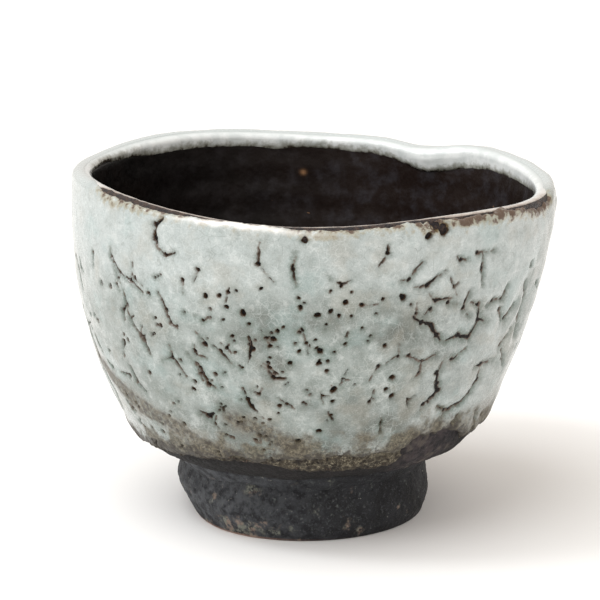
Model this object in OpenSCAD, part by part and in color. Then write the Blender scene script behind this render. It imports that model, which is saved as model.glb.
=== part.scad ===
// Hand-formed tea bowl: a dark stoneware body on a luted foot ring, a thick pale glaze outside,
// a band of the same glaze turned in over the lip, and a thin dark liner glaze inside.
// Every section is a half profile [radius, height]. Each one is turned about the upright axis and
// then pushed out of round by form(), so that touching pieces share the same faces.

/* [Body] */
// Radius of the clay at the lip
mouth_r = 57.6; // [50:0.1:64]
// Mean height of the lip above the table
rim_h = 84.4; // [76:0.1:92]
// Thickness of the clay wall at the lip
lip_t = 3.2; // [2.8:0.1:4.4]
// Thickness of the clay floor at its centre
floor_t = 7.5; // [6:0.1:8.5]

/* [Foot ring] */
// Height of the foot ring, from the table to the luted joint
foot_h = 15.5; // [14:0.1:17]
// Radius of the foot ring where it bulges
foot_r = 31.4; // [30.6:0.1:33]
// Radius of the foot ring's outer edge on the table
foot_base_r = 30; // [28:0.1:30.4]
// Radius of the recess inside the foot ring
recess_r = 21.5; // [19:0.1:23]
// How far the base of the body drops into the foot ring
base_drop = 4; // [2:0.1:5]

/* [Glaze] */
// Thickness of the pale outer glaze
glaze_t = 1.1; // [0.7:0.05:1.6]
// Thickness of the liner glaze and of the pale band
liner_t = 0.6; // [0.4:0.05:1]
// Depth of the pale band inside the lip
band_h = 5; // [4:0.1:8]

/* [Hand-formed shape] */
// Sideways place of the foot under the mouth
foot_x = -2.4; // [-3:0.1:0]
// Sideways lean from the foot to the lip
lean_x = 2.4; // [0:0.1:4]
// Height by which the lip's high side stands over its mean
rim_tilt = 1.5; // [0:0.1:2]
// Height of the four waves along the lip
rim_wave = 0.7; // [0:0.1:1]
// Height of the raised corner of the lip
corner_up = 1.2; // [0:0.1:2]
// How far that corner stands out
corner_out = 1; // [0:0.1:2]
// How far the thumb dent pushes the lip inwards
dent_in = 3.2; // [0:0.1:4]
// How far the lip dips at the dent
dent_drop = 1.4; // [0:0.1:2]
// Height of the three bulges round the wall
lobe = 0.6; // [0:0.1:1]

/* [Hidden] */

segments = 60;           // turns of the polyhedra; 60 leaves flats 0.08 mm deep
steps = 2;               // pieces of curve between two outline points
round_fn = 180;          // fineness of the truly round pieces
tilt_at = 180;           // direction of the lip's high side
wave_at = 38;            // direction of the first of its four waves
corner_at = 188;         // direction of the raised corner
corner_w = 26;           // half width of that corner, in degrees
dent_at = 57;            // direction of the thumb dent
dent_w = 11;             // half width of the dent, in degrees
dent_from = 0.62;        // height share at which the dent starts
lobe_at = 10;            // direction of the first of the three bulges
lip_r = lip_t / 2;       // radius of the rounded lip
lip_c = [mouth_r - lip_r, rim_h - lip_r];    // centre of that round
lip_steps = 6;           // pieces of that round
joint_r = 30.3;          // outer radius of the luted joint
glaze_end = steps;       // place in the outline where the pale glaze ends and the crust begins
crust_t = 0.7 * glaze_t; // thickness of the crust there
fade_steps = 3;          // outline points over which the pale glaze thins to nothing at the lip
slip_w = 2.6;            // reach of the smeared slip along each surface
slip_t = 0.9;            // and its thickness at the corner
foot_round = 0.8;        // rounding of the foot ring's two lower edges
recess_draft = 0.6;      // how much wider the recess is at the table
register_gap = 0.3;      // room between the base of the body and the foot ring round it
nub_r = 7;               // radius of the turned point in the middle of the base
nub_h = 1.2;             // and its height
base_z = foot_h - base_drop;
floor_z = base_z + floor_t;
wall_h = rim_h - foot_h;
hollow_h = lip_c.y - floor_z;

// Curves ---------------------------------------------------------------------------------------
function unit(v) = v / norm(v);
function direction(p, i) = unit(p[min(i + 1, len(p) - 1)] - p[max(i - 1, 0)]);
function hermite(a, b, da, db, t) =
    a * (2 * t^3 - 3 * t^2 + 1) + da * (t^3 - 2 * t^2 + t) + b * (3 * t^2 - 2 * t^3) + db * (t^3 - t^2);
// A smooth line through the points p
function smooth(p) = [
    for (i = [0:len(p) - 2], j = [0:steps - 1])
        let (c = norm(p[i + 1] - p[i]))
            hermite(p[i], p[i + 1], direction(p, i) * c, direction(p, i + 1) * c, j / steps),
    p[len(p) - 1]
];
// The line p moved to its right-hand side, by one distance for each of its points
function raised(p, by) = [
    for (i = [0:len(p) - 1]) let (d = direction(p, i)) p[i] + [d.y, -d.x] * by[i]
];
function part_of(p, first, last) = [for (i = [first:last]) p[i]];
function turned_round(p) = [for (i = [len(p) - 1:-1:0]) p[i]];
function arc_points(c, r, from, to, n) = [
    for (i = [0:n]) let (a = from + (to - from) * i / n) c + r * [cos(a), sin(a)]
];

// The clay's outlines ---------------------------------------------------------------------------
// Outside, from the joint up to the lip, as shares of the mouth's radius and of the wall's height
outside = smooth([
    for (p = [[0.606, 0.033], [0.71, 0.09], [0.767, 0.16], [0.826, 0.26], [0.887, 0.393],
              [0.939, 0.537], [0.977, 0.68], [0.997, 0.826], [1, 1 - lip_r / wall_h]])
        [p.x * mouth_r, foot_h + p.y * wall_h]
]);
// Over the lip
over_lip = arc_points(lip_c, lip_r, 0, 180, lip_steps);
// Inside, from the lip down past the pale band's lower edge to the middle of the floor
band_y = 1 - (band_h - lip_r) / hollow_h;
inside_r = mouth_r - lip_t;
inside = smooth([
    for (p = [[1, 1], [0.999, band_y], [0.987, 0.83], [0.958, 0.67], [0.906, 0.51],
              [0.836, 0.35], [0.73, 0.2], [0.55, 0.075], [0.31, 0.02], [0, 0]])
        [p.x * inside_r, floor_z + p.y * hollow_h]
]);
band_end = steps;        // place in the inside line where the pale band ends
// Underneath, from the middle of the base out to the joint's outer edge
boss_r = recess_r - register_gap;
beneath = [
    [0, base_z - nub_h], [nub_r / 2, base_z - 0.7 * nub_h], [nub_r, base_z],
    [boss_r, base_z], [boss_r, foot_h], [joint_r, foot_h]
];

// The hand-formed shape -------------------------------------------------------------------------
function bell(a, at, w) = let (d = (a - at + 540) % 360 - 180) exp(-(d / w)^2);
function ramp(v, from, to) = min(1, max(0, (v - from) / (to - from)));
// How far the wall at direction a and height share k stands out of round
function pushed(a, k) =
    lobe * cos(3 * (a - lobe_at)) * k^2 + corner_out * bell(a, corner_at, corner_w) * k^4
        - dent_in * bell(a, dent_at, dent_w) * ramp(k, dent_from, 1)^1.5;
// How far the wall there stands over its mean height
function lifted(a, k) =
    (rim_tilt * cos(a - tilt_at) + rim_wave * cos(4 * (a - wave_at))
        + corner_up * bell(a, corner_at, corner_w) - dent_drop * bell(a, dent_at, dent_w)) * k^4;
// The point of the bowl at direction a for the profile point p
function form(a, p) =
    let (k = ramp(p.y, 0, rim_h), near = min(1, p.x / foot_r), r = p.x + pushed(a, k) * near)
        [foot_x + lean_x * k^3 + r * cos(a), r * sin(a), p.y + lifted(a, k) * near];

// A ring turned from a closed section that stays off the axis
module turned_ring(section) {
    n = len(section);
    polyhedron(
        points = [for (k = [0:segments - 1], p = section) form(360 * k / segments, p)],
        faces = [
            for (k = [0:segments - 1], i = [0:n - 1])
                let (a = k * n, b = (k + 1) % segments * n, j = (i + 1) % n)
                    each [[a + i, a + j, b + i], [a + j, b + j, b + i]]
        ],
        convexity = 6
    );
}

// A solid turned from a chain whose first and last points are on the axis
module turned_solid(chain) {
    n = len(chain) - 2;
    rings = [for (k = [0:segments - 1], i = [1:n]) form(360 * k / segments, chain[i])];
    bottom = len(rings);
    polyhedron(
        points = concat(rings, [form(0, chain[0]), form(0, chain[n + 1])]),
        faces = [
            for (k = [0:segments - 1])
                let (a = k * n, b = (k + 1) % segments * n)
                    each concat(
                        [[bottom, a, b], [a + n - 1, bottom + 1, b + n - 1]],
                        [for (i = [0:n - 2]) each [[a + i, a + i + 1, b + i], [a + i + 1, b + i + 1, b + i]]]
                    )
        ],
        convexity = 6
    );
}

// Pieces ----------------------------------------------------------------------------------------
// The bowl itself, with its bare lip, its floor and the base that drops into the foot ring
module clay_body() {
    color("#2e2825")
        turned_solid(concat(beneath, outside, part_of(over_lip, 1, lip_steps - 1), inside));
}

// The foot: a ring of the same clay that the bowl stands on
module foot_ring() {
    outer = smooth([
        [foot_base_r, foot_round], [(foot_base_r + 2 * foot_r) / 3, 0.25 * foot_h],
        [foot_r, 0.5 * foot_h], [joint_r, foot_h]
    ]);
    base_recess_r = recess_r + recess_draft;
    color("#26262a")
        translate([foot_x, 0, 0])
            rotate_extrude($fn = round_fn)
                polygon(concat(
                    [[recess_r, foot_h], [base_recess_r, foot_round], [base_recess_r + foot_round, 0],
                     [foot_base_r - foot_round, 0]],
                    outer
                ));
}

// The slip smeared into the corner between the foot ring and the underside of the bowl
module joint_slip() {
    corner = [joint_r, foot_h];
    along_bowl = unit(outside[0] - corner);
    color("#332c28")
        translate([foot_x, 0, 0])
            rotate_extrude($fn = round_fn)
                polygon([
                    corner, corner + along_bowl * slip_w, corner + [slip_t, -slip_t / 2],
                    corner - [0, slip_w]
                ]);
}

// The pale glaze outside: it thins to nothing on the lip and ends in a thick edge over the hip
module outer_glaze() {
    top = concat(part_of(outside, glaze_end, len(outside) - 1), part_of(over_lip, 1, 1));
    last = len(top) - 1;
    thick = [for (i = [0:last - 1]) glaze_t * min(1, (last - i) / fade_steps)];
    color("#c3cdc7")
        turned_ring(concat(top, turned_round(raised(part_of(top, 0, last - 1), thick))));
}

// The dry crust below it, where the glaze ran thin and scorched
module glaze_crust() {
    strip = part_of(outside, 0, glaze_end);
    thick = [for (i = [1:glaze_end]) crust_t * i / glaze_end];
    color("#8b8069")
        turned_ring(concat(strip, turned_round(raised(part_of(strip, 1, glaze_end), thick))));
}

// The pale band that turns in over the lip
module rim_glaze() {
    line = concat(part_of(over_lip, lip_steps / 2, lip_steps - 1), part_of(inside, 0, band_end));
    last = len(line) - 1;
    thick = [for (i = [1:last]) -liner_t];
    color("#cfd6d2")
        turned_ring(concat(line, turned_round(raised(part_of(line, 1, last), thick))));
}

// The dark liner glaze, from the pale band down over the floor
module liner_glaze() {
    clay = part_of(inside, band_end, len(inside) - 1);
    last = len(clay) - 1;
    thick = [for (i = [0:last - 1]) -liner_t];
    color("#1d1513")
        turned_solid(concat(
            turned_round(clay), raised(part_of(clay, 0, last - 1), thick), [clay[last] + [0, liner_t]]
        ));
}

clay_body();
foot_ring();
joint_slip();
outer_glaze();
glaze_crust();
rim_glaze();
liner_glaze();
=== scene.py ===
"""Looks of a hand-formed tea bowl: dark stoneware under a thick, pale, split and pitted glaze.

The shape follows the CAD part: the same half profiles [radius, height] in millimetres, turned about
the upright axis and pushed out of round by form(), with its sizes taken from the frame's boxes. Each
coat of glaze is a height above the clay. Where that height falls below nought the coat dives into the
clay, so splits, pinholes and ragged edges are real openings with the clay showing in them.
Directions are degrees round the bowl: 0 is +X, the bowl's right, and -90 is the front.
"""
import itertools
import math

import bpy
import numpy as np
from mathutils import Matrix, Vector


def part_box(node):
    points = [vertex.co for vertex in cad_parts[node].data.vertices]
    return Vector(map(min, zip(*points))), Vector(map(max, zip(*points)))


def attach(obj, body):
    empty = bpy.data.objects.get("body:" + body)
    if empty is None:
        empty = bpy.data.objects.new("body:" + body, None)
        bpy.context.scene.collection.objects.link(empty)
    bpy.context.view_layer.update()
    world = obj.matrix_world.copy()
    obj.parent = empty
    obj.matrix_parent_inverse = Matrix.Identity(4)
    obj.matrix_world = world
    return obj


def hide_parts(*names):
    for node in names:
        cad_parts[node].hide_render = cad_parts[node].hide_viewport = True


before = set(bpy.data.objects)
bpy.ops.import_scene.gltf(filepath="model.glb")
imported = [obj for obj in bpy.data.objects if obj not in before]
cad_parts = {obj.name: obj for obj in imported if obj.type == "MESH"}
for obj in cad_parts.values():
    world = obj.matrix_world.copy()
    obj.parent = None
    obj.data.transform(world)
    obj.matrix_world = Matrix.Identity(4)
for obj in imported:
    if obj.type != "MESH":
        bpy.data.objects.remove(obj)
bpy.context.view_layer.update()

MM = 0.001
coarse = 1


# Sizes, in millimetres --------------------
def box_mm(node):
    """A CAD node's lowest and highest corners."""
    low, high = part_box(node)
    return np.array(low) / MM, np.array(high) / MM


foot_low, foot_high = box_mm("foot_ring")
clay_low, clay_high = box_mm("clay_body")
foot_x = (foot_low[0] + foot_high[0]) / 2
foot_r = (foot_high[0] - foot_low[0]) / 2
foot_h = foot_high[2]
mouth_r = (clay_high[1] - clay_low[1]) / 2
lip_t = 3.2         # clay at the lip
lean_x = 2.4        # sideways lean from the foot to the lip
rim_tilt = 1.5      # the lip's high side over its mean, at 180 degrees
rim_wave = 0.7      # four waves along the lip
corner_up = 1.2     # raised corner of the lip, and how far it stands out
corner_out = 1.0
dent_in = 3.2       # thumb dent: inwards and down
dent_drop = 1.4
lobe = 0.6          # three bulges round the wall
corner = (188, 26)  # direction and half width of the raised corner
dent = (57, 11)     # and of the thumb dent
dent_from = 0.62    # share of the height where the dent begins
glaze_t = 1.05      # white coat outside
liner_t = 0.6       # dark coat inside
sunk_t = 0.6        # how deep the back of a white coat lies in the clay
base_drop = 4.0     # how far the base of the bowl drops into the foot ring
nub_h = 1.2         # small nub in the middle of the base
nub_r = 7.0
recess_r = 21.2     # hollow of the foot ring, where the base sits in it
join_r = 30.3       # outer edge of the face where the foot ring meets the bowl
least_r = 36        # less than the wall's radius wherever the glaze is opened
open_low = 20       # heights between which it is opened at random
open_high = 82
lip_r = lip_t / 2
base_z = foot_h - base_drop


# The hand-formed shape --------------------
def cos_deg(a):
    """Cosine of an angle in degrees."""
    return np.cos(np.radians(a))


def hump(v, at, width):
    """1 where v is at the place, falling off over the width."""
    return np.exp(-((v - at) / width) ** 2)


def bell(a, at, width):
    """The same for a direction, in degrees all round."""
    return hump(((a - at + 180) % 360) - 180, 0, width)


def ramp(v, start, end):
    """0 before start, 1 after end. The start may also be the higher of the two."""
    return np.clip((v - start) / (end - start), 0, 1)


def ease(v, start, end):
    """The same ramp, eased at both ends."""
    t = ramp(v, start, end)
    return t * t * (3 - 2 * t)


def pushed(a, k):
    """How far the wall at direction a and height share k stands out of round."""
    return (lobe * cos_deg(3 * (a - 10)) * k**2 + corner_out * bell(a, *corner) * k**4
            - dent_in * bell(a, *dent) * ramp(k, dent_from, 1) ** 1.5)


def lifted(a, k):
    """How far the wall there stands over its mean height."""
    return (rim_tilt * cos_deg(a - 180) + rim_wave * cos_deg(4 * (a - 38))
            + corner_up * bell(a, *corner) - dent_drop * bell(a, *dent)) * k**4


rim_h = clay_high[2] - lifted(np.arange(360.0), 1).max()


def form(a, r, z):
    """The point of the bowl at direction a for the profile point (r, z)."""
    k = ramp(z, 0, rim_h)
    near = np.minimum(1, r / foot_r)
    out = r + pushed(a, k) * near
    x = foot_x + lean_x * k**3 + out * cos_deg(a)
    return np.stack([x, out * np.sin(np.radians(a)), z + lifted(a, k) * near], -1)


def smooth(points, steps=24):
    """A smooth line through the points."""
    p = np.array(points, float)
    way = np.vstack([p[1] - p[0], p[2:] - p[:-2], p[-1] - p[-2]])
    way /= np.linalg.norm(way, axis=1, keepdims=True)
    span = np.linalg.norm(p[1:] - p[:-1], axis=1)[:, None]
    line = []
    for t in np.arange(steps) / steps:
        line.append(p[:-1] * (2 * t**3 - 3 * t**2 + 1) + way[:-1] * span * (t**3 - 2 * t**2 + t)
                    + p[1:] * (3 * t**2 - 2 * t**3) + way[1:] * span * (t**3 - t**2))
    return np.vstack([np.stack(line, 1).reshape(-1, 2), p[-1:]])


def run_along(line):
    """How far along the line each of its points is."""
    return np.concatenate([[0], np.cumsum(np.linalg.norm(np.diff(line, axis=0), axis=1))])


def spaced(line, gap):
    """The line again, with points about gap apart."""
    run = run_along(line)
    at = np.linspace(0, run[-1], max(2, int(round(run[-1] / gap)) + 1))
    return np.stack([np.interp(at, run, line[:, i]) for i in (0, 1)], -1)


wall_h = rim_h - foot_h
floor_z = base_z + 7.5
lip_c = (mouth_r - lip_r, rim_h - lip_r)
hollow_h = lip_c[1] - floor_z
inside_r = mouth_r - lip_t
outside = smooth([
    (x * mouth_r, foot_h + y * wall_h)
    for x, y in ((0.606, 0.033), (0.71, 0.09), (0.767, 0.16), (0.826, 0.26), (0.887, 0.393),
                 (0.939, 0.537), (0.977, 0.68), (0.997, 0.826), (1, 1 - lip_r / wall_h))
])
inside = smooth([
    (x * inside_r, floor_z + y * hollow_h)
    for x, y in ((1, 1), (0.999, 0.947), (0.987, 0.83), (0.958, 0.67), (0.906, 0.51),
                 (0.836, 0.35), (0.73, 0.2), (0.55, 0.075), (0.31, 0.02), (0, 0))
])


def over_lip(start, end):
    """The round of the lip between two angles of its section: 0 outside, 90 on top, 180 inside."""
    a = np.radians(np.linspace(start, end, 40))
    return np.stack([lip_c[0] + lip_r * np.cos(a), lip_c[1] + lip_r * np.sin(a)], -1)


def surface(line, columns):
    """The profile line swept round the bowl, as rows of points."""
    return form(directions(columns), line[:, :1], line[:, 1:])


def swept(line, columns):
    """The swept line, the direction of each of its columns and the height of each of its rows."""
    columns //= coarse
    return surface(line, columns), directions(columns), line[:, 1:]


def on_axis(z):
    """The point of the bowl's axis at a height."""
    return form(0.0, 0.0, np.array(z))


def directions(columns):
    """The direction of each column of such a surface."""
    return (np.arange(columns) * 360 / columns - 180)[None, :]


def normals(rows):
    """Unit normals of such rows. They point out of the wall where the line runs up its outside."""
    across = np.roll(rows, -1, 1) - np.roll(rows, 1, 1)
    along = np.gradient(rows, axis=0)
    n = np.cross(across, along)
    return n / (np.linalg.norm(n, axis=-1, keepdims=True) + 1e-9)


# Noise --------------------
def noise(points, size, seed):
    """Smooth random values from -1 to 1, with bumps about size millimetres apart."""
    q = points / size + seed * 7.31
    cell = np.floor(q).astype(np.int64)
    t = q - cell
    t = t * t * (3 - 2 * t)
    total = np.zeros(points.shape[:-1])
    for c in itertools.product((0, 1), repeat=3):
        # A random number for each corner of the cell, hashed from its place and the seed
        k = cell + np.array(c)
        h = (k[..., 0] * 73856093) ^ (k[..., 1] * 19349663) ^ (k[..., 2] * 83492791)
        h = (h ^ (seed * 668265263)) & 0xFFFFFFFF
        h = ((h ^ (h >> 15)) * 2246822519) & 0xFFFFFFFF
        h = ((h ^ (h >> 13)) * 3266489917) & 0xFFFFFFFF
        weight = np.prod(np.where(np.array(c) == 1, t, 1 - t), axis=-1)
        total += weight * ((h ^ (h >> 16)) / 2.0**31 - 1)
    return total


def rough(points, size, seed, octaves=3):
    """Noise in several sizes, each half the one before."""
    return sum(noise(points, size / 2**i, seed + i) / 2**i for i in range(octaves)) / 1.5


def shaken(points, seed, *waves):
    """The points moved at random. A wave is a size of noise, how far it moves them and its own seed."""
    return points + np.stack([
        sum(noise(points, size, seed + axis + own) * reach for size, reach, own in waves)
        for axis in range(3)
    ], -1)


# Splits and pinholes of the outer glaze --------------------
# The splits that stand out: width, then a chain of (direction, height) in whole degrees and
# millimetres. A chain of two places starts wide and runs out; a longer one is widest in its middle,
# with a small knot at each bend.
SPLITS = [
    # left of the front
    (0.9, (-126, 83), (-128, 81), (-128, 80)),
    (1.2, (-128, 80), (-128, 78), (-127, 76)),
    (0.5, (-127, 76), (-125, 75), (-122, 76)),
    (0.6, (-143, 73), (-143, 71), (-140, 68), (-136, 67), (-132, 65)),
    (0.5, (-136, 67), (-135, 71)),
    (0.6, (-139, 64), (-138, 61), (-140, 59), (-140, 57)),
    (0.6, (-127, 66), (-125, 62), (-124, 59), (-122, 58)),
    (0.4, (-117, 62), (-115, 61), (-113, 62)),
    (0.5, (-116, 73), (-117, 70)),
    (0.5, (-120, 70), (-120, 67)),
    (0.9, (-115, 55), (-117, 58)),
    (0.5, (-113, 55), (-111, 54), (-108, 51)),
    (0.6, (-137, 57), (-134, 54), (-132, 50)),
    (0.6, (-125, 53), (-125, 50), (-121, 46)),
    (0.5, (-125, 50), (-128, 49)),
    (0.6, (-120, 52), (-117, 49), (-115, 45), (-113, 44)),
    (0.7, (-142, 51), (-144, 47)),
    (0.6, (-142, 45), (-141, 41), (-138, 39)),
    (0.7, (-144, 42), (-148, 42)),
    (1.5, (-119, 37), (-117, 36), (-115, 37)),
    (0.5, (-152, 70), (-152, 67)),
    # the middle
    (0.5, (-102, 76), (-102, 81)),
    (0.4, (-102, 76), (-98, 72)),
    (0.5, (-93, 71), (-94, 75), (-94, 79)),
    (0.5, (-86, 73), (-83, 71), (-81, 72)),
    (0.6, (-73, 80), (-73, 78), (-75, 75)),
    (0.5, (-78, 66), (-74, 66)),
    (0.8, (-104, 58), (-103, 55), (-104, 52)),
    (0.8, (-101, 51), (-98, 48), (-95, 48)),
    (0.8, (-106, 45), (-105, 42), (-104, 40), (-101, 37)),
    (0.5, (-72, 50), (-74, 47)),
    (0.5, (-73, 41), (-72, 44)),
    # the network on the right
    (0.5, (-64, 75), (-67, 71), (-69, 71)),
    (0.9, (-62, 69), (-57, 72)),
    (0.5, (-62, 69), (-65, 69)),
    (0.6, (-61, 67), (-59, 65), (-54, 65)),
    (0.5, (-60, 63), (-62, 61)),
    (0.9, (-65, 62), (-62, 60), (-59, 59), (-57, 56), (-54, 54)),
    (0.9, (-54, 54), (-50, 55), (-46, 54), (-44, 58)),
    (0.6, (-40, 57), (-44, 58), (-45, 62), (-48, 63)),
    (0.7, (-49, 66), (-50, 62), (-48, 60)),
    (0.5, (-55, 64), (-52, 63)),
    (0.5, (-54, 75), (-53, 74), (-51, 74)),
    (0.4, (-48, 75), (-42, 75)),
    (0.5, (-46, 75), (-46, 71), (-45, 67)),
    (0.6, (-42, 61), (-40, 62), (-36, 62), (-35, 65)),
    (0.6, (-36, 59), (-34, 56)),
    (0.5, (-32, 56), (-29, 59)),
    (0.9, (-25, 64), (-23, 60), (-23, 55), (-22, 50)),
    (0.7, (-30, 49), (-26, 52)),
    (0.9, (-31, 45), (-37, 45), (-40, 45)),
    (0.8, (-37, 45), (-36, 41), (-38, 38), (-41, 36), (-47, 35), (-51, 37)),
    (0.9, (-53, 49), (-54, 46), (-53, 43), (-52, 41), (-53, 40), (-56, 38), (-57, 36)),
    (0.6, (-45, 35), (-48, 33)),
    (0.6, (-40, 32), (-42, 31)),
    (0.4, (-67, 55), (-67, 52), (-70, 51)),
    (0.3, (-67, 52), (-64, 52), (-60, 50), (-56, 51)),
    (0.3, (-60, 50), (-60, 47), (-62, 45)),
    (0.4, (-50, 49), (-46, 51)),
]
# The largest pinholes: direction, height and radius with the dark edge
PINHOLES = [
    (-92, 82, 0.95), (-82, 67, 0.75), (-88, 64, 0.7), (-105, 64, 0.75), (-109, 65, 0.6),
    (-114, 67, 0.6), (-87, 55, 0.75), (-98, 58, 0.7), (-83, 45, 0.9), (-68, 47, 0.6),
    (-67, 42, 0.75), (-69, 44, 0.6), (-86, 34, 0.75), (-97, 60, 0.5), (-94, 52, 0.6),
    (-68, 67, 0.8), (-85, 65, 0.6), (-87, 52, 0.7), (-85, 50, 0.5), (-83, 42, 0.6),
    (-92, 66, 0.55), (-101, 70, 0.5), (-120, 43, 0.7), (-118, 53, 0.6), (-130, 65, 0.55),
    (-148, 64, 0.6), (-144, 64, 0.6), (-92, 31, 0.7), (-126, 33, 0.5), (-50, 29, 1.1),
]
CHIP = [(-63, 81, 1.1), (-62, 84, 1.2), (-61, 83, 1.3), (-59, 82, 1.7)]     # bare chip at the lip
hole_share = 0.74   # share of that radius that is cut out
# Random openings: how many places are tried for a long split, how many stars and small pinholes
crack_tries, star_count, pit_count = 150, 80, 190
start_gap = 2.5     # a random long split starts this far from other openings
stop_gap = 1.2      # and ends when it comes this near one


def on_wall(a, z):
    """The point of the clay wall at direction a and mean height z."""
    return form(np.asarray(a, float), np.interp(z, outside[:, 1], outside[:, 0]), np.asarray(z, float))


def stepped(a, z, turn, length):
    """The (direction, height) place a step of so many millimetres away; a turn of 0 is straight down."""
    return a + length * math.sin(turn) * 1.15, z - length * math.cos(turn)


class WallMap:
    """A net of points over the wall, with each one's distance outside the nearest opening."""

    def __init__(self, points, heights):
        self.heights = heights
        self.columns = points.shape[1]
        self.gap = np.full(points.shape[:2], 9.0)
        self.jagged = shaken(points, 11, (4.0, 0.32, 0), (1.0, 0.2, 3), (0.5, 0.12, 6))
        self.uneven = shaken(points, 21, (1.0, 0.26, 0), (0.4, 0.08, 5))
        # Splits are pinched where this is above nought, and the narrowest close there
        self.closed = np.maximum(noise(points, 1.1, 26), 0) * 0.3

    def window(self, a, z, reach):
        """The part of the net within reach of a place."""
        low = np.searchsorted(self.heights, z - reach)
        high = np.searchsorted(self.heights, z + reach) + 1
        middle = int(round((a + 180) / 360 * self.columns))
        wide = int(reach / (2 * math.pi * least_r / self.columns)) + 2
        return np.ix_(np.arange(max(0, low), min(len(self.heights), high)),
                      np.arange(middle - wide, middle + wide + 1) % self.columns)

    def room(self, a, z):
        """How far the nearest opening so far is from a place."""
        return self.gap[self.window(a, min(max(z, open_low), open_high), 0.5)].min()

    def split(self, start, end, wide_start, wide_end, reach=3.0):
        """Opens a straight split between two (direction, height) places."""
        p, q = on_wall(*start), on_wall(*end)
        way = q - p
        at = self.window((start[0] + end[0]) / 2, (start[1] + end[1]) / 2,
                         np.linalg.norm(way) / 2 + reach)
        t = np.clip(((self.jagged[at] - p) @ way) / (way @ way), 0, 1)
        apart = np.linalg.norm(self.jagged[at] - p - t[..., None] * way, axis=-1)
        half = (wide_start + (wide_end - wide_start) * t) / 2
        self.gap[at] = np.minimum(self.gap[at], apart - half + self.closed[at])

    def chain(self, width, *places):
        """Opens a split along a chain of places. Its dark edges add to the width that it is cut to."""
        n = len(places) - 1
        if n == 1:
            knots = places[:1]
            shares = [0.8, 0.0]
        else:
            knots = places[1:-1]
            shares = [math.sin(math.pi * (i + 0.2) / (n + 0.4)) for i in range(n + 1)]
        cut = [0.8 * width * share for share in shares]
        for i in range(n):
            self.split(places[i], places[i + 1], cut[i], cut[i + 1])
        for a, z in knots:
            self.pinhole(a, z, 0.16 + 0.42 * width)

    def star(self, a, z, rng):
        """Opens a small split of two or three arms that run out from one place."""
        width = rng.uniform(0.2, 0.45)
        self.pinhole(a, z, width * rng.uniform(0.5, 0.9))
        turn = rng.normal(0.6, 0.35)
        for arm in (0, math.pi, rng.uniform(0.9, 2.2))[:rng.integers(2, 4)]:
            self.chain(width, (a, z), stepped(a, z, turn + arm, rng.uniform(0.8, 2.8)))

    def crack(self, a, z, rng):
        """Opens a longer split that wanders till it nears another, often with a branch."""
        width = rng.uniform(0.35, 0.8)
        turn = rng.choice([0.35, 0.35, 1.3, -0.9]) + rng.normal(0, 0.35)
        places = [(a, z)]
        for _ in range(rng.integers(2, 5)):
            places.append(stepped(*places[-1], turn, rng.uniform(2.5, 5)))
            turn += rng.normal(0, 0.55)
            if self.room(*places[-1]) < stop_gap:
                break
        self.chain(width, *places)
        if rng.uniform() < 0.6:
            side = turn + rng.choice([-1.4, 1.4])
            self.chain(width * 0.7, places[1], stepped(*places[1], side, rng.uniform(2, 4.5)))

    def pinhole(self, a, z, r, reach=3.0):
        """Opens a hole of radius r, a little out of round."""
        at = self.window(a, z, r + reach)
        apart = np.linalg.norm(self.uneven[at] - on_wall(a, z), axis=-1) - r
        self.gap[at] = np.minimum(self.gap[at], apart)


def scattered(rng, count, keep):
    """Random (direction, height) places on the wall where keep(direction, height) beats a die."""
    places = []
    while len(places) < count:
        a, z = rng.uniform(-180, 180), rng.uniform(open_low + 1, open_high - 1)
        if rng.uniform() < keep(a, z):
            places.append((a, z))
    return places


# Meshes --------------------
def turned_mesh(name, rows, fields, ends=None):
    """A mesh from rows of points round the bowl. It closes on itself, or on two end points."""
    n, m = rows.shape[:2]
    index = np.arange(n * m).reshape(n, m)
    nxt = np.roll(index, -1, 1)
    low, up = (index, np.roll(index, -1, 0)) if ends is None else (index[:-1], index[1:])
    low_nxt, up_nxt = np.roll(low, -1, 1), np.roll(up, -1, 1)
    quads = np.stack([low, low_nxt, up_nxt, up], -1).reshape(-1, 4)
    points = rows.reshape(-1, 3)
    tris = np.empty((0, 3), int)
    if ends is not None:
        points = np.vstack([points, ends])
        tris = np.vstack([
            np.stack([np.full(m, n * m), nxt[0], index[0]], -1),
            np.stack([index[-1], nxt[-1], np.full(m, n * m + 1)], -1),
        ])
    mesh = bpy.data.meshes.new(name)
    mesh.vertices.add(len(points))
    mesh.vertices.foreach_set("co", (points * MM).astype(np.float32).ravel())
    corners = np.concatenate([quads.ravel(), tris.ravel()])
    starts = np.concatenate([np.arange(len(quads)) * 4, len(quads) * 4 + np.arange(len(tris)) * 3])
    mesh.loops.add(len(corners))
    mesh.loops.foreach_set("vertex_index", corners.astype(np.int32))
    mesh.polygons.add(len(starts))
    mesh.polygons.foreach_set("loop_start", starts.astype(np.int32))
    mesh.polygons.foreach_set("use_smooth", np.ones(len(starts), bool))
    mesh.update(calc_edges=True)
    for key, values in fields.items():
        values = np.broadcast_to(values, (n, m)).ravel()
        flat = np.concatenate([values, np.zeros(len(points) - n * m)])
        layer = mesh.attributes.new(key, "FLOAT", "POINT")
        layer.data.foreach_set("value", flat.astype(np.float32))
    return mesh


def placed(name, data):
    """A new object in the scene."""
    thing = bpy.data.objects.new(name, data)
    bpy.context.scene.collection.objects.link(thing)
    return thing


def piece(name, mesh, material, node):
    """The mesh as a piece of the bowl that stands for a CAD node."""
    thing = placed(name, mesh)
    mesh.materials.append(material)
    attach(thing, "root")
    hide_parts(node)


def hip_swell(a, z):
    """How far the bare clay of the hip stands out over the wall, below the glaze's edge."""
    size = 0.55 + 0.1 * bell(a, 180, 50) + 0.35 * bell(a, -25, 30)
    return size * ease(z, foot_h + 0.5, 19.5) * (1 - ease(z - low_edge(a), -2.0, 2.0))


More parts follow.
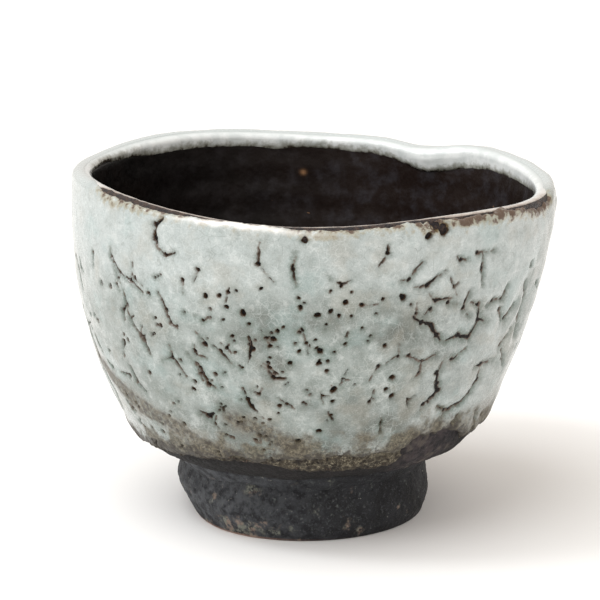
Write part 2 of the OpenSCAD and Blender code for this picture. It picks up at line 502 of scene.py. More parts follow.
def laid(gap, thick, reach, steep=1.0, deepest=-0.4):
    """A coat's height: it rounds up to its thickness inside its edges and dives into the clay outside."""
    up = thick * (1 - np.exp(-np.maximum(gap, 0) / reach))
    return np.where(gap > 0, up, np.maximum(gap * steep, deepest))


def coat(name, base, height, back_line, fields):
    """A closed coat: its face stands height above the base, its back lies sunk in the clay."""
    face = base + normals(base) * height[..., None]
    back = surface(back_line[::-1], base.shape[1])
    back = back + normals(back) * sunk_t
    fields = {key: np.vstack([value, np.zeros(back.shape[:2])]) for key, value in fields.items()}
    return turned_mesh(name, np.concatenate([face, back]), fields)


# Materials --------------------
class Look:
    """A material and the few kinds of node that the looks here are built from."""

    def __init__(self, name, **shader):
        self.material = bpy.data.materials.new(name)
        self.material.use_nodes = True
        self.tree = self.material.node_tree
        self.shader = self.tree.nodes["Principled BSDF"]
        for key, value in shader.items():
            self.shader.inputs[key.replace("_", " ")].default_value = value
        self.place = self.node("TexCoord").outputs["Object"]

    def link(self, source, socket):
        """Gives a socket a number, a colour or what another node puts out."""
        if isinstance(source, (int, float)):
            socket.default_value = source
        elif isinstance(source, tuple):
            socket.default_value = (*source, 1)
        else:
            self.tree.links.new(source, socket)

    def node(self, kind, **inputs):
        """A new node with its inputs fed."""
        node = self.tree.nodes.new("ShaderNode" + kind)
        for key, source in inputs.items():
            self.link(source, node.inputs[key.replace("_", " ")])
        return node

    def field(self, name):
        """A value stored at the mesh's points."""
        node = self.node("Attribute")
        node.attribute_name = name
        return node.outputs["Fac"]

    def noise(self, size, detail=3, rough=0.55):
        """Noise from 0 to 1 with bumps about size millimetres apart."""
        scale = 1 / (size * MM)
        node = self.node("TexNoise", Vector=self.place, Scale=scale, Detail=detail, Roughness=rough)
        return node.outputs["Fac"]

    def cells(self, size):
        """Distance from the edges of cells about size millimetres across. The cells are bent by noise."""
        bend = self.node("TexNoise", Vector=self.place, Scale=0.7 / (size * MM))
        shift = self.node("VectorMath")
        shift.operation = "MULTIPLY_ADD"
        shift.inputs[1].default_value = [size * MM] * 3
        self.link(bend.outputs["Color"], shift.inputs[0])
        self.link(self.place, shift.inputs[2])
        node = self.node("TexVoronoi", Vector=shift.outputs[0], Scale=1 / (size * MM))
        node.feature = "DISTANCE_TO_EDGE"
        return node.outputs["Distance"]

    def math(self, kind, a, b):
        """Two values put together by one Math node."""
        node = self.node("Math")
        node.operation = kind
        self.link(a, node.inputs[0])
        self.link(b, node.inputs[1])
        return node.outputs[0]

    def times(self, a, b):
        """One value times another."""
        return self.math("MULTIPLY", a, b)

    def span(self, value, start, end, low=0.0, high=1.0):
        """The value eased from start..end to low..high."""
        node = self.node("MapRange", Value=value, From_Min=start, From_Max=end, To_Min=low, To_Max=high)
        node.interpolation_type = "SMOOTHSTEP"
        return node.outputs["Result"]

    def mix(self, share, a, b):
        """Colour a with a share of colour b over it."""
        node = self.node("Mix")
        node.data_type = "RGBA"
        self.link(share, node.inputs["Factor"])
        self.link(a, node.inputs["A"])
        self.link(b, node.inputs["B"])
        return node.outputs["Result"]

    def tones(self, value, start, end, first, last):
        """Two sRGB tones: the first where the value is at its start, the last where it is at its end."""
        return self.mix(self.span(value, start, end), srgb(*first), srgb(*last))

    def layered(self, colour, *layers):
        """The colour under thin layers. A layer is the share that shows and its sRGB tone."""
        for share, tone in layers:
            colour = self.mix(share, colour, srgb(*tone))
        return colour

    def done(self, colour, roughness, grain, depth, strength):
        """The finished material, its bumps made by a noise of this grain and depth millimetres high."""
        bump = self.node("Bump", Height=self.noise(*grain), Distance=depth * MM, Strength=strength)
        self.link(colour, self.shader.inputs["Base Color"])
        self.link(roughness, self.shader.inputs["Roughness"])
        self.link(bump.outputs["Normal"], self.shader.inputs["Normal"])
        return self.material


def srgb(*values):
    """The linear colour of an sRGB one given from 0 to 255."""
    return tuple(v / 255 / 12.92 if v < 10.3 else ((v / 255 + 0.055) / 1.055) ** 2.4 for v in values)


def clay_look():
    """Dark iron-rich stoneware: charcoal, purple-brown on the bare hip, dark and glossy on the lip."""
    look = Look("dark_stoneware", Specular_IOR_Level=0.3)
    lip = look.field("lip")
    fine = look.noise(0.7, 3)
    colour = look.tones(look.noise(6, 4), 0.35, 0.65, (14, 12, 12), (28, 25, 25))
    bare = look.tones(look.noise(2.2, 4, 0.6), 0.38, 0.62, (27, 24, 28), (60, 53, 54))
    bare = look.layered(bare, (look.span(look.noise(3.5, 3), 0.56, 0.68), (80, 73, 68)))
    colour = look.mix(look.field("hip"), colour, bare)
    colour = look.layered(colour, (look.span(fine, 0.6, 0.8, 0, 0.5), (92, 84, 80)))
    # What shows in the openings of the glaze
    under = look.tones(fine, 0.4, 0.6, (12, 9, 8), (26, 18, 14))
    colour = look.mix(look.field("under"), colour, under)
    worn = look.tones(look.noise(1.4, 4), 0.42, 0.66, (28, 22, 24), (62, 45, 36))
    colour = look.mix(lip, colour, worn)
    roughness = look.math("SUBTRACT", look.span(fine, 0.3, 0.7, 0.62, 0.85), look.times(lip, 0.42))
    return look.done(colour, roughness, (0.7, 5, 0.7), 0.35, 0.9)


def charcoal_look(name):
    """Charcoal clay of the foot and its joint, with a dusting of beige, pink and green ash, and painted
    light: paler on the left.
    """
    look = Look(name, Specular_IOR_Level=0.3)
    broad = look.noise(7, 4)
    blot = look.noise(2.4, 4, 0.65)
    fine = look.noise(0.7, 4, 0.7)
    colour = look.tones(broad, 0.35, 0.65, (12, 12, 15), (32, 33, 37))
    colour = look.layered(colour, (look.span(blot, 0.5, 0.3), (13, 13, 17)))
    # painted light: a paler grey on the left side, towards the lamps, in blotches of the clay's own
    # mottling
    worn = look.tones(blot, 0.35, 0.65, (24, 25, 31), (90, 93, 97))
    colour = look.mix(look.field("worn"), colour, worn)
    colour = look.layered(colour, (look.span(fine, 0.5, 0.75, 0, 0.75), (88, 90, 94)))
    patch = look.span(look.math("ADD", look.noise(5, 3), look.field("ash")), 0.62, 0.74)
    ash = look.times(patch, look.span(look.noise(1.3, 4, 0.7), 0.42, 0.56))
    ash_colour = look.tones(look.noise(3, 2), 0.45, 0.55, (128, 130, 118), (142, 125, 112))
    colour = look.mix(look.times(ash, 0.85), colour, ash_colour)
    dusty = look.span(look.noise(4, 3), 0.42, 0.6)
    dust = look.times(look.span(look.noise(1.1, 5, 0.75), 0.56, 0.66), dusty)
    fleck = look.times(look.span(look.noise(0.7, 2, 0.6), 0.68, 0.74), look.span(broad, 0.5, 0.6))
    colour = look.layered(
        colour,
        (look.times(dust, 0.7), (96, 100, 98)),
        (fleck, (150, 146, 136)),
        (look.field("sole"), (176, 140, 122)),
    )
    roughness = look.span(fine, 0.3, 0.7, 0.5, 0.8)
    return look.done(colour, roughness, (0.8, 5, 0.7), 0.5, 1)


def crust_look():
    """Olive-brown dry glaze with yellowish and dark specks, darker and flaking along its lower edge."""
    look = Look("ash_crust", Specular_IOR_Level=0.25)
    fade = look.times(look.field("fade"), look.span(look.noise(1.5, 4, 0.65), 0.38, 0.56))
    rise = look.math("ADD", look.field("rise"), look.span(look.noise(1.4, 4, 0.65), 0.25, 0.75, -1, 1))
    flake = look.times(look.span(rise, 2.6, 1.2), look.span(look.noise(1.1, 3), 0.62, 0.7))
    colour = look.tones(look.noise(4, 4), 0.35, 0.65, (37, 32, 27), (71, 64, 52))
    colour = look.layered(
        colour,
        (look.span(look.noise(0.55, 4, 0.75), 0.48, 0.6, 0, 0.9), (148, 140, 120)),
        (look.span(look.noise(1.1, 5, 0.75), 0.5, 0.6), (26, 21, 18)),
        (fade, (124, 120, 104)),
        (look.span(look.field("gap"), 0.7, 0, 0, 0.5), (74, 62, 56)),
        (look.span(rise, 1.7, 0.5, 0, 0.8), (34, 28, 23)),
        (flake, (140, 116, 100)),
    )
    roughness = look.span(look.noise(0.8, 4, 0.7), 0.3, 0.7, 0.6, 0.85)
    return look.done(colour, roughness, (0.8, 4, 0.7), 0.4, 0.8)


def glaze_look():
    """Thick celadon-white glaze: crazed, green-grey round its openings, brown where it thins."""
    look = Look("split_white_glaze", Specular_IOR_Level=0.5, Coat_Weight=0.25, Coat_Roughness=0.07)
    gap, hem, murk = look.field("gap"), look.field("hem"), look.field("murk")
    mottle = look.noise(6, 5, 0.6)
    cloud = look.noise(2.4, 4, 0.6)
    fine = look.noise(0.8, 4, 0.7)
    grain = look.noise(0.3, 3, 0.6)
    tone = look.noise(9, 3)
    pick = look.noise(7, 3)

    # The open glaze: clouds of colour, grain, pale crazing, dark seams and freckles
    craze = look.times(look.span(look.cells(1.8), 0, 0.07, 0.22, 0), look.span(pick, 0.45, 0.6))
    seam = look.times(look.span(look.cells(3.6), 0, 0.03, 0.45, 0), look.span(pick, 0.55, 0.4))
    freckle = look.times(look.span(fine, 0.6, 0.76), look.span(mottle, 0.3, 0.65, 0.7, 0.15))
    colour = look.tones(mottle, 0.32, 0.68, (126, 135, 130), (157, 165, 162))
    colour = look.layered(
        colour,
        (look.field("pale"), (177, 185, 184)),
        (look.span(cloud, 0.5, 0.7, 0, 0.45), (204, 209, 207)),
        (look.span(cloud, 0.48, 0.3, 0, 0.4), (122, 130, 125)),
        (look.times(look.field("deep"), look.span(mottle, 0.75, 0.35)), (92, 98, 91)),
        (look.span(tone, 0.52, 0.68, 0, 0.3), (130, 156, 154)),
        (look.span(tone, 0.48, 0.32, 0, 0.3), (152, 146, 132)),
        (look.span(grain, 0.5, 0.3, 0, 0.14), (96, 102, 97)),
        (look.span(grain, 0.5, 0.7, 0, 0.16), (220, 224, 222)),
        (craze, (222, 228, 226)),
        (seam, (116, 124, 118)),
        (freckle, (104, 110, 102)),
        # painted shade: darker glaze along the long splits and low on the far right
        (look.field("painted_shade"), (112, 120, 115)),
        # partly painted shade: the wall's top and the lip's crest go grey-white, paler glaze toned down
        # where the key lamp lights the crest straight on
        (look.field("crest"), (190, 196, 195)),
    )

    # Round the openings: a green-grey halo, rust and a dark edge
    halo = look.span(look.math("ADD", gap, look.span(fine, 0.2, 0.8, -0.4, 0.4)), 0, 1.3, 0.75, 0)
    rust = look.times(look.span(gap, 0.12, 0.5, 0.9, 0), look.span(cloud, 0.45, 0.6))
    colour = look.layered(
        colour,
        (look.times(halo, look.span(look.noise(9, 2), 0.35, 0.65, 0.3, 1)), (94, 106, 96)),
        (rust, (84, 62, 44)),
        (look.span(gap, 0.05, 0.2, 1, 0), (70, 50, 34)),
        (look.span(gap, -0.2, 0, 1, 0), (27, 23, 19)),
    )

    # The hem and the brown bands, speckled
    low = look.math("ADD", hem, look.span(look.noise(5, 4, 0.6), 0.25, 0.75, -5, 5))
    brown = look.tones(look.noise(0.5, 4, 0.75), 0.4, 0.6, (62, 55, 42), (120, 113, 94))
    colour = look.mix(look.span(low, 8, 1, 0, 0.85), colour, brown)
    bands = look.times(murk, look.span(look.noise(1.6, 4, 0.65), 0.35, 0.55, 0.55, 1))
    colour = look.mix(bands, colour, brown)
    soot = look.math("MAXIMUM", look.span(hem, 7, 1), murk)
    edge = look.math("ADD", hem, look.span(look.noise(1.6, 4, 0.6), 0.25, 0.75, -1.4, 1.4))
    colour = look.layered(
        colour,
        (look.times(soot, look.span(look.noise(1, 4, 0.75), 0.5, 0.58, 0, 0.9)), (44, 37, 30)),
        (look.times(soot, look.span(look.noise(0.6, 4, 0.75), 0.55, 0.66, 0, 0.6)), (148, 139, 120)),
        (look.span(edge, 2.6, 0.9, 0, 0.7), (38, 31, 26)),
    )

    # The upper edge: tan, then brown where the glaze is thinnest, and a painted highlight on the glaze
    # bead under the lip
    top = look.math("ADD", look.field("brow"), look.span(look.noise(2, 3), 0.25, 0.75, -1.3, 1.3))
    colour = look.layered(
        colour,
        (look.span(top, 2, 0.3, 0, 0.55), (146, 132, 98)),
        (look.span(top, 0.5, -0.3, 0, 0.9), (76, 50, 33)),
        (look.field("bead_highlight"), (246, 242, 238)),
    )
    dry = look.math("MAXIMUM", look.span(low, 8, 2, 0, 0.85), look.times(murk, 0.7))
    roughness = look.math("MAXIMUM", look.span(fine, 0.3, 0.7, 0.16, 0.34), dry)
    return look.done(colour, roughness, (0.9, 5, 0.65), 0.1, 0.5)


def band_look():
    """The white glaze where it runs over the lip: smooth and glossy, brown where it thins."""
    look = Look("white_lip_glaze", Specular_IOR_Level=0.5, Coat_Weight=0.3, Coat_Roughness=0.08)
    mottle = look.noise(4, 4)
    uneven = look.span(look.noise(1.5, 4, 0.6), 0.3, 0.7, -0.4, 0.4)
    edge = look.math("ADD", look.field("gap"), uneven)
    colour = look.tones(mottle, 0.35, 0.65, (214, 219, 218), (236, 239, 238))
    colour = look.layered(
        colour,
        (look.span(edge, 2, 0.4, 0, 0.8), (112, 110, 92)),
        (look.span(edge, 0.7, 0.1, 0, 0.95), (50, 39, 30)),
        # painted shade: the band's white toned down to grey-white at the crest, which the key lamp lights
        # straight on
        (look.field("crest"), (190, 196, 195)),
        # thin glaze on the bare crest: a pinkish pale line, partly a painted highlight along the crest
        (look.field("thin"), (196, 180, 170)),
    )
    roughness = look.span(mottle, 0.3, 0.7, 0.1, 0.2)
    return look.done(colour, roughness, (1.2, 3), 0.05, 0.4)


def liner_look():
    """Near-black brown liner, soft gloss, with a haze at the back, a few pale specks and a tan one."""
    look = Look("dark_liner", Specular_IOR_Level=0.15, Coat_Weight=0.03, Coat_Roughness=0.2)
    haze = look.field("haze")
    fine = look.noise(1.2, 4, 0.65)
    colour = look.tones(look.noise(8, 4), 0.35, 0.65, (3, 2, 2), (14, 9, 7))
    colour = look.layered(
        colour,
        (look.times(haze, 0.45), (50, 38, 34)),
        (look.times(haze, look.span(look.noise(4, 4, 0.6), 0.42, 0.75, 0, 0.8)), (56, 54, 58)),
        (look.span(fine, 0.64, 0.8, 0, 0.6), (52, 42, 40)),
        (look.span(look.noise(2.2, 1, 0.5), 0.8, 0.84), (140, 106, 78)),
        (look.field("spot"), (150, 112, 80)),
    )
    roughness = look.span(fine, 0.3, 0.7, 0.3, 0.5)
    return look.done(colour, roughness, (1.1, 4, 0.6), 0.15, 0.6)


# Pieces --------------------
def make_body():
    """The thrown wall and floor, rough on the bare hip and underneath."""
    nub = smooth([(0, base_z - nub_h), (nub_r / 2, base_z - 0.7 * nub_h), (nub_r, base_z)])
    base = [(nub_r, base_z), (recess_r, base_z), (recess_r, foot_h), (join_r, foot_h), outside[0]]
    parts = [
        spaced(nub, 0.8)[1:-1], spaced(np.array(base), 0.8)[:-1], spaced(outside, 0.6)[:-1],
        spaced(over_lip(0, 180), 0.35)[:-1], spaced(inside, 1.2)[:-1],
    ]
    wall, crest = 2, 3      # the outside and the lip, by their places in parts
    line = np.vstack(parts)
    part = np.repeat(np.arange(len(parts)), [len(points) for points in parts])[:, None]
    rows, a, z = swept(line, 640)
    face = (part == wall) | (part == crest)
    glazed = ease(z, 30, 33)
    bare = face * (1 - glazed) + (part < wall) * 0.5
    lip = face * ease(z, 80.5, 82.0)
    bumps = rough(rows, 5.0, 31) * 0.45 + rough(rows, 1.6, 35) * 0.25
    out = bumps * bare + hip_swell(a, z) * face + rough(rows, 1.6, 38, 2) * 0.12 * lip
    rows = rows + normals(rows) * out[..., None]
    fields = {"lip": lip, "under": face * glazed * (1 - lip), "hip": face * bare_hip(a)}
    ends = np.array([on_axis(base_z - nub_h), on_axis(floor_z)])
    mesh = turned_mesh("clay_body_mesh", rows, fields, ends)
    piece("bowl_body", mesh, clay_look(), "clay_body")


def bare_hip(a):
    """1 where the clay of the hip is left bare, right of the front's middle."""
    return ease(a, -62, -54) * (1 - ease(a, -41, -29))


def crust_hang(a):
    """1 along the front, where the dry crust hangs lowest."""
    return ease(a, -108, -88) * (1 - ease(a, -62, -52))


def low_left(a):
    """How much further down the glaze runs on the left."""
    return 3.4 * bell(a, -158, 30)


def low_edge(a):
    """Height of the white glaze's lower edge."""
    return 25.0 + 0.8 * crust_hang(a) + 4.0 * bare_hip(a) - low_left(a)


def bare_lip(a):
    """1 along the front, where the lip's outside is bare, and 0 where white glaze runs over it."""
    return ease(a, -168, -146) * (1 - ease(a, -16, 2))


def top_edge(a):
    """Height of the white glaze's upper edge, measured up the wall and on over the lip."""
    short = 3.6 - 1.2 * bell(a, -107, 13) - 0.5 * bell(a, -46, 12) + 1.3 * bell(a, -23, 9)
    return 87.5 - bare_lip(a) * short


def fringe(a):
    """1 on the front right, where a brown fringe runs down from the bare lip."""
    return ease(a, -74, -52) * (1 - ease(a, -20, -8))


def murky(points, a, z):
    """Brown bands that slant down across the lower left of the wall, and a brown hem on the right."""
    slant = z - 30 + (a + 125) * 0.35 + noise(points, 14, 51) * 3
    upper = ease(a, -116, -106) * hump(slant, 11.4, 2.2)
    bands = (hump(slant, 0, 2.8) + upper) * ease(a, -175, -155) * (1 - ease(a, -92, -74))
    side = ease(a, -74, -56) * (1 - ease(a, 10, 40)) * (1 - ease(z, 28, 36))
    return (1.7 * bands + side) * (0.85 + 0.5 * rough(points, 3, 52))


def crack_chance(a, z):
    """How likely a long random split is: only where the photo doesn't show the wall."""
    unseen = ease(a, -10, 4) * (1 - ease(a, 172, 179)) + ease(a, -164, -172)
    return unseen * ease(z, 79, 70) * ease(z, 24, 34)


def star_chance(a, z):
    """How likely a small split is: mostly low and on the left."""
    return (0.35 + 0.65 * bell(a, -135, 40)) * ease(z, 76, 66) * (1 - 0.7 * bell(a, -45, 26))


def pit_chance(a, z):
    """How likely a pinhole is: mostly low and at the front."""
    return (0.25 + 0.75 * bell(a, -92, 32)) * ease(z, 74, 62) * (1 - 0.8 * bell(a, -42, 24))


def open_glaze(net, rng):
    """Opens all splits and pinholes, and gives how far each point is from the long splits."""
    for width, *places in SPLITS:
        net.chain(width, *places)
    for a, z in scattered(rng, crack_tries, crack_chance):
        if net.room(a, z) > start_gap:
            net.crack(a, z, rng)
    lines = np.maximum(net.gap, 0)
    for a, z in scattered(rng, star_count, star_chance):
        net.star(a, z, rng)
    for a, z, r in PINHOLES + CHIP:
        net.pinhole(a, z, r * hole_share)
    for a, z in scattered(rng, pit_count, pit_chance):
        net.pinhole(a, z, rng.uniform(0.1, 0.36))
        if rng.uniform() < 0.3:
            net.pinhole(a + rng.uniform(-2, 2), z + rng.uniform(-1.5, 1.5), rng.uniform(0.1, 0.26))
    return lines


def pale_part(points, a, z, pillow):
    """Where the glaze is pale: towards the lip, at the far left and on the pillows of the right."""
    patch = 0.6 * bell(a, -45, 12) * hump(z, 41, 7)
    grey_side = 1.5 * ease(a, -38, -15) * (1 - ease(a, 15, 40))
    share = (noise(points, 30, 71) * 0.35 + 0.4 * bell(a, -160, 34) + 0.75 * ease(z, 58, 76)
             + 1.25 * ease(a, -70, -54) * pillow + patch - grey_side - 0.35 * bell(a, 176, 18))
    return 0.8 * ease(share, 0.1, 0.9)


def deep_part(points, a, z):
    """Where the glaze is deep green-grey: in clouds over the lower front."""
    clouds = ease(rough(points, 14, 73) + 0.55, 0, 0.7)
    return np.clip(1.35 * bell(a, -88, 38) * clouds * (1 - ease(z, 58, 72)), 0, 1)


def make_outer_glaze():
    """The thick white coat of the outside, with its splits, pinholes and ragged edges."""
    lip_end = 100
    wall = spaced(outside, 0.26 * coarse)[:-1]
    lip = spaced(over_lip(0, lip_end), 0.26 * coarse)
    line = np.vstack([wall, lip])
    # Heights go on up the round of the lip, measured along it
    up_lip = np.linspace(0, 1, len(lip)) * math.radians(lip_end) * lip_r
    up = np.concatenate([wall[:, 1], lip_c[1] + up_lip])
    base, a, _ = swept(line, 1400)
    z = up[:, None]
    net = WallMap(base, up)
    lines = open_glaze(net, np.random.default_rng(12))

    # How far inside the lower edge and the upper one, and then how thick
    over = 1 - bare_lip(a)
    right = ease(a, -78, -64) * (1 - 0.6 * ease(a, 40, 100)) * (1 - ease(a, 130, 175))
    hem = z - low_edge(a) + rough(base, 5, 41) * 1.6 + rough(base, 1.2, 44) * 0.5
    ragged = 0.35 + 0.75 * ease(a, -84, -60) * bare_lip(a)
    brow = (top_edge(a) - z + rough(base, 2.8, 45) * ragged + rough(base, 0.8, 48) * 0.2
            + rough(base, 1.3, 49) * 0.3 * fringe(a))
    rim = np.minimum(hem, brow)
    pillow = 1 - np.exp(-lines / 1.8)
    dome = 1 - np.exp(-lines / 3.0)
    swell = (1 + (pillow - 0.8) * 0.25 + (dome - 0.6) * 0.8 * right + 0.25 * rough(base, 12, 63)
             + 0.35 * right * rough(base, 7, 67, 2) + 0.06 * rough(base, 2.2, 66))
    thick = (glaze_t * swell + glaze_swell(a, z)) * (1 - 0.75 * ease(z, 83.6, 85.6) * over)
    soft = np.where(net.gap < rim, 0.12 + 0.2 * right, 0.6)
    height = laid(np.minimum(net.gap, rim), thick, soft, 2.5, -0.45)

    fields = {
        "gap": net.gap,
        # painted highlight: a near-white strip on the glaze bead under the front-left lip
        "bead_highlight": 0.9 * bell(a, -107, 13) * hump(brow, 1.0, 0.55),
        # painted shade: darker near the long splits and low on the far right of the wall
        "painted_shade": ((1 - ease(lines, 0, 2.2)) * (0.1 + 0.1 * right)
                   + 0.3 * bell(a, -6, 15) * ease(z, 30, 50)),
        # partly painted shade: the paler top of the glaze, toned down where the key lamp lights the crest
        "crest": ease(z, 81.5, 84.5) * over,
        "hem": hem - 0.6 * low_left(a),
        "brow": brow + 4 * over - 1.3 * fringe(a),
        "pale": pale_part(base, a, z, pillow),
        "deep": deep_part(base, a, z),
        "murk": np.clip(murky(base, a, z), 0, 0.9),
    }
    back_line = spaced(np.vstack([outside[:-1], over_lip(0, lip_end)]), 5.0)
    mesh = coat("outer_glaze_mesh", base, height, back_line, fields)
    piece("white_glaze", mesh, glaze_look(), "outer_glaze")


def glaze_swell(a, z):
    """Where the glaze runs thicker or thinner than elsewhere, mostly at the two sides."""
    return (0.8 * hip_swell(a, z - 3.5) + 0.4 * bell(a, 180, 26) * hump(z, 42, 12)
            + 0.3 * bell(a, -4, 10) * hump(z, 74, 5)
            - 0.4 * bell(a, -8, 16) * ease(z, 78, 83)
            + 0.45 * bell(a, -3, 3) * hump(z, 81, 1.8)
            - 0.6 * bell(a, -38, 8) * hump(z, 79, 3))


def make_crust():
    """The dry, flaking lower hem of the glaze. It hangs over the joint at the front."""
    strip = outside[(outside[:, 1] > 18.5) & (outside[:, 1] < 33)]
    line = spaced(strip, 0.3 * coarse)
    base, a, z = swept(line, 1000)
    hang = crust_hang(a)
    low = 23.8 - low_left(a) - 2.4 * hang + rough(base, 5, 81) * 0.7 + rough(base, 1.1, 84) * 0.45
    high = 26.6 - low_left(a) + 2.3 * hang + rough(base, 6, 86) * 1.6 + rough(base, 1.3, 89) * 1.3
    gap = np.minimum(z - low, high - z) - 3 * bare_hip(a)
    lumps = 1.0 + 0.35 * rough(base, 2.0, 91) + 0.2 * rough(base, 0.8, 94)
    fade = 1 - ease(high - z, 0, 1.2 + 1.8 * hang)
    height = laid(gap, (1.15 - 0.55 * fade) * lumps, 0.7)
    fields = {"gap": gap, "fade": fade, "rise": z - low}
    mesh = coat("crust_mesh", base, height, spaced(line, 2.5), fields)
    piece("ash_crust", mesh, crust_look(), "glaze_crust")


def make_band():
    """The white glaze over the crest of the lip and down inside, thickest in a drip at the dent."""
    outer_turn = 30         # how far outside the crest it starts, in degrees round the lip
    lip = spaced(over_lip(90 - outer_turn, 180), 0.25 * coarse)[:-1]
    wall = spaced(inside[inside[:, 1] > 70], 0.3 * coarse)
    line = np.vstack([lip, wall])
    run = (run_along(line) - math.radians(outer_turn) * lip_r)[:, None]     # measured from the crest
    base, a, _ = swept(line, 1000)
    worn = bare_lip(a)
    depth = (5.0 + 1.2 * bell(a, 36, 26) + 1.7 * bell(a, dent[0] - 5, 9) - 2.4 * bell(a, 164, 18)
             + rough(base, 8, 101) * 0.9 + rough(base, 1.6, 104) * 0.12)
    outer = (3.0 - 3.1 * worn + 1.4 * worn * ease(a, -66, -50)
             + rough(base, 2.2, 107) * (0.22 + 0.3 * worn))
    thick = 0.6 + 0.9 * bell(a, dent[0] - 4, 9) * ease(run, 0.5, 3.5) + 0.12 * rough(base, 9, 109)
    thick = thick * (0.3 + 0.7 * ease(run, 0.2, 2.2)) + 0.6 * bell(a, 46, 14) * ease(run, 2.5, 0)
    height = laid(np.minimum(depth - run, run + outer), thick, 0.6)
    fields = {
        "gap": np.minimum((depth - run) * 0.7, run + outer + 4 * (1 - worn)),
        # thin glaze on the bare crest, partly a painted highlight
        "thin": worn * (1 - ease(run, 0.2, 1.2)) * 0.55,
        # painted shade: the band goes grey-white towards the crest
        "crest": (1 - worn) * (1 - ease(run, 0.2, 1.8)),
    }
    mesh = coat("band_mesh", base, height, spaced(line, 0.8), fields)
    piece("lip_band", mesh, band_look(), "rim_glaze")


def make_liner():
    """The dark glaze of the inside, over faint throwing rings."""
    ring_gap, sunk = 7.5, 0.5
    spot_a, spot_z = 92, 74.5       # the tan speck on the back wall
    line = spaced(inside, 0.5 * coarse)[::-1][1:]
    base, a, z = swept(line, 720)
    rings = np.sin((z + a / 90) * 2 * math.pi / ring_gap) * 0.05
    below_top = line[-1, 1] - z
    thick = liner_t + rings + 0.16 * rough(base, 7, 121) + 0.05 * rough(base, 1.6, 124)
    height = thick * (1 - np.exp(-below_top / 1.5)) - 0.05
    face = base - normals(base) * height[..., None]
    back = surface(spaced(inside, 2.0)[:-1], base.shape[1])
    back = back - normals(back) * sunk
    ends = np.array([on_axis(floor_z + liner_t), on_axis(floor_z - sunk)])
    none = np.zeros(back.shape[:2])
    haze = bell(a, 50, 60) * ease(z, 25, 55)
    spot = np.exp(-(((a - spot_a) * 0.8) ** 2 + (z - spot_z) ** 2) / 0.4)
    fields = {"haze": np.vstack([haze, none]), "spot": np.vstack([spot, none])}
    mesh = turned_mesh("liner_mesh", np.concatenate([face, back]), fields, ends)
    piece("dark_liner", mesh, liner_look(), "liner_glaze")


def paler_lit_side(a):
    """1 on the left: painted light, the foot and its slip painted a paler grey on the side towards the
    lamps.
    """
    return 0.8 * bell(a, -142, 48)


def make_foot():
    """The hand-cut foot ring."""
    sole_r, edge_r, hollow_r = foot_r - 1.4, 0.8, 21.5
    sole = [(hollow_r + 0.6, 0.0), (sole_r - edge_r, 0.0)]
    edge = smooth([(sole_r - edge_r, 0), (sole_r - 0.24, 0.24), (sole_r, edge_r)])
    skin = smooth([(sole_r, edge_r), ((sole_r + 2 * foot_r) / 3, 0.25 * foot_h),
                   (foot_r, 0.5 * foot_h), (join_r, foot_h)])
    within = [(join_r, foot_h), (recess_r, foot_h), (hollow_r + 0.1, 0.5), (hollow_r + 0.6, 0.0)]
    line = np.vstack([
        spaced(np.array(sole), 0.6)[:-1],
        spaced(edge, 0.3)[:-1],
        spaced(skin, 0.4)[:-1],
        spaced(np.array(within), 0.8)[:-1],
    ])
    rows, a, z = swept(line, 720)
    r = line[:, :1]
    outer = r > 25
    free = ease(z, 0.2, 2.0) * outer
    pared = -2.0 * bell(a, -168, 30) * (1 - ease(z, 0, 9)) * outer
    bulge = (0.9 * bell(a, -24, 20) * hump(z, 4.5, 3.5) - 0.4 * bell(a, -5, 25)
             + 0.5 * bell(a, -175, 30) * hump(z, 10, 3))
    cut = 0.6 * rough(rows, 11, 131, 2) + 0.34 * rough(rows, 2.6, 134) + 0.1 * rough(rows, 0.9, 137)
    out = np.concatenate([cos_deg(a), np.sin(np.radians(a)), np.zeros_like(a)]).T[None]
    rows = rows + out * ((bulge + cut) * free + pared)[..., None]
    rows[..., 2] = np.where(z <= 0.01, 0.0, rows[..., 2])       # the sole stays flat
    fields = {
        # painted light: the left side painted paler
        "worn": paler_lit_side(a),
        "ash": 0.2 * bell(a, -122, 26) * ease(z, 9, 3),
        "sole": 0.8 * bell(a, -128, 30) * (1 - ease(z, 0.3, 0.7)) * (r > 29),
    }
    mesh = turned_mesh("foot_mesh", rows, fields)
    piece("foot", mesh, charcoal_look("charcoal_foot"), "foot_ring")


def bent(start, pull, end, t):
    """The curve from start to end that a third value pulls aside, at t from 0 to 1."""
    return (1 - t) ** 2 * start + 2 * t * (1 - t) * pull + t**2 * end


def make_slip():
    """Slip worked into the corner between foot and bowl, drawn up furthest along the front."""
    a = directions(720 // coarse)
    drawn = ease(a, -168, -140) * (1 - ease(a, -40, -14))
    size = 1.2 + 0.9 * drawn + 0.5 * np.sin(np.radians(a * 7))
    corner_r, corner_z = 31.1, foot_h
    up_r, up_z = corner_r + 1.3 * size, corner_z + 0.62 * size
    down_r, down_z = 30.9, corner_z - size
    back_r = np.full_like(size, 29)
    t = np.linspace(0, 1, 22)[:, None]
    face = form(a, bent(down_r, corner_r + 0.5, up_r, t), bent(down_z, corner_z - 0.3, up_z, t))
    lumps = 0.25 * rough(face, 5, 141) + 0.12 * rough(face, 1.3, 144)
    face = face + normals(face) * ((lumps + 0.45) * np.sin(math.pi * t))[..., None]
    back = form(a, np.vstack([up_r, (up_r + back_r) / 2, back_r, back_r]),
                np.vstack([up_z + 1.2, up_z + 0.8, np.full_like(size, corner_z + 0.5), down_z]))
    rows = np.concatenate([face, back])
    # painted light: the slip's left side painted paler
    mesh = turned_mesh("slip_mesh", rows, {"worn": paler_lit_side(a)})
    piece("joint_slip_bead", mesh, charcoal_look("dark_slip"), "joint_slip")


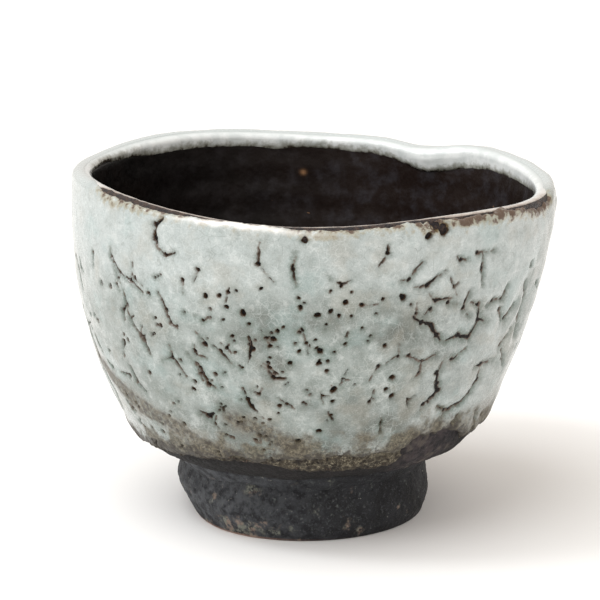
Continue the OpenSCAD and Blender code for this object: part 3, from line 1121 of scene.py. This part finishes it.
# Room --------------------
def make_floor():
    """A plain pale floor."""
    half = 3.0
    corners = [(-half, -half, 0), (half, -half, 0), (half, half, 0), (-half, half, 0)]
    mesh = bpy.data.meshes.new("floor_mesh")
    mesh.from_pydata(corners, [], [(0, 1, 2, 3)])
    floor = placed("floor", mesh)
    look = Look("white_floor", Roughness=0.9, Specular_IOR_Level=0.1, Base_Color=(0.965, 0.955, 0.945, 1))
    mesh.materials.append(look.material)


def aimed(thing, place, aim):
    """Puts a light or a camera at a place and turns it to another."""
    thing.location = place
    thing.rotation_euler = (Vector(aim) - Vector(place)).to_track_quat("-Z", "Y").to_euler()


def make_area_light(name, place, aim, size, power, flat=1.0):
    """A round lamp, or an oval one when flat is less than 1."""
    data = bpy.data.lights.new(name, "AREA")
    data.shape = "ELLIPSE"
    data.size = size
    data.size_y = size * flat
    data.energy = power
    data.color = (0.93, 0.97, 1)
    aimed(placed(name, data), place, aim)


def make_world(light, tint, seen):
    """A plain white room: one brightness for the light it sheds, another for what the camera sees."""
    world = bpy.data.worlds.new("white_room")
    world.use_nodes = True
    nodes, links = world.node_tree.nodes, world.node_tree.links
    nodes.clear()
    shed, shown = nodes.new("ShaderNodeBackground"), nodes.new("ShaderNodeBackground")
    for node, colour, strength in ((shed, tint, light), (shown, (1, 1, 1), seen)):
        node.inputs["Color"].default_value = (*colour, 1)
        node.inputs["Strength"].default_value = strength
    pick = nodes.new("ShaderNodeMixShader")
    path = nodes.new("ShaderNodeLightPath")
    out = nodes.new("ShaderNodeOutputWorld")
    links.new(path.outputs["Is Camera Ray"], pick.inputs[0])
    links.new(shed.outputs[0], pick.inputs[1])
    links.new(shown.outputs[0], pick.inputs[2])
    links.new(pick.outputs[0], out.inputs[0])
    bpy.context.scene.world = world


def make_camera():
    """A long lens, a little above the lip and looking slightly down."""
    data = bpy.data.cameras.new("camera")
    data.lens = 168.9
    data.sensor_width = 36
    data.clip_start = 0.05
    camera = placed("camera", data)
    aimed(camera, place=(-0.0024, -0.6761, 0.2232), aim=(-0.0034, 0, 0.0528))
    bpy.context.scene.camera = camera


bpy.context.scene.view_settings.view_transform = "Standard"
make_camera()
make_world(light=0.785, tint=(1, 0.93, 0.865), seen=1.0)
bowl_middle = (0, 0, 0.04)
make_area_light("key", (-1.1, -0.6, 2.0), bowl_middle, size=3.0, power=44)
make_area_light("window", (-1.2, -0.4, 1.95), bowl_middle, size=0.5, power=9, flat=0.7)
make_area_light("fill", (1.0, -1.6, 1.1), bowl_middle, size=2.0, power=5.5)
make_floor()
make_body()
make_outer_glaze()
make_crust()
make_band()
make_liner()
make_foot()
make_slip()
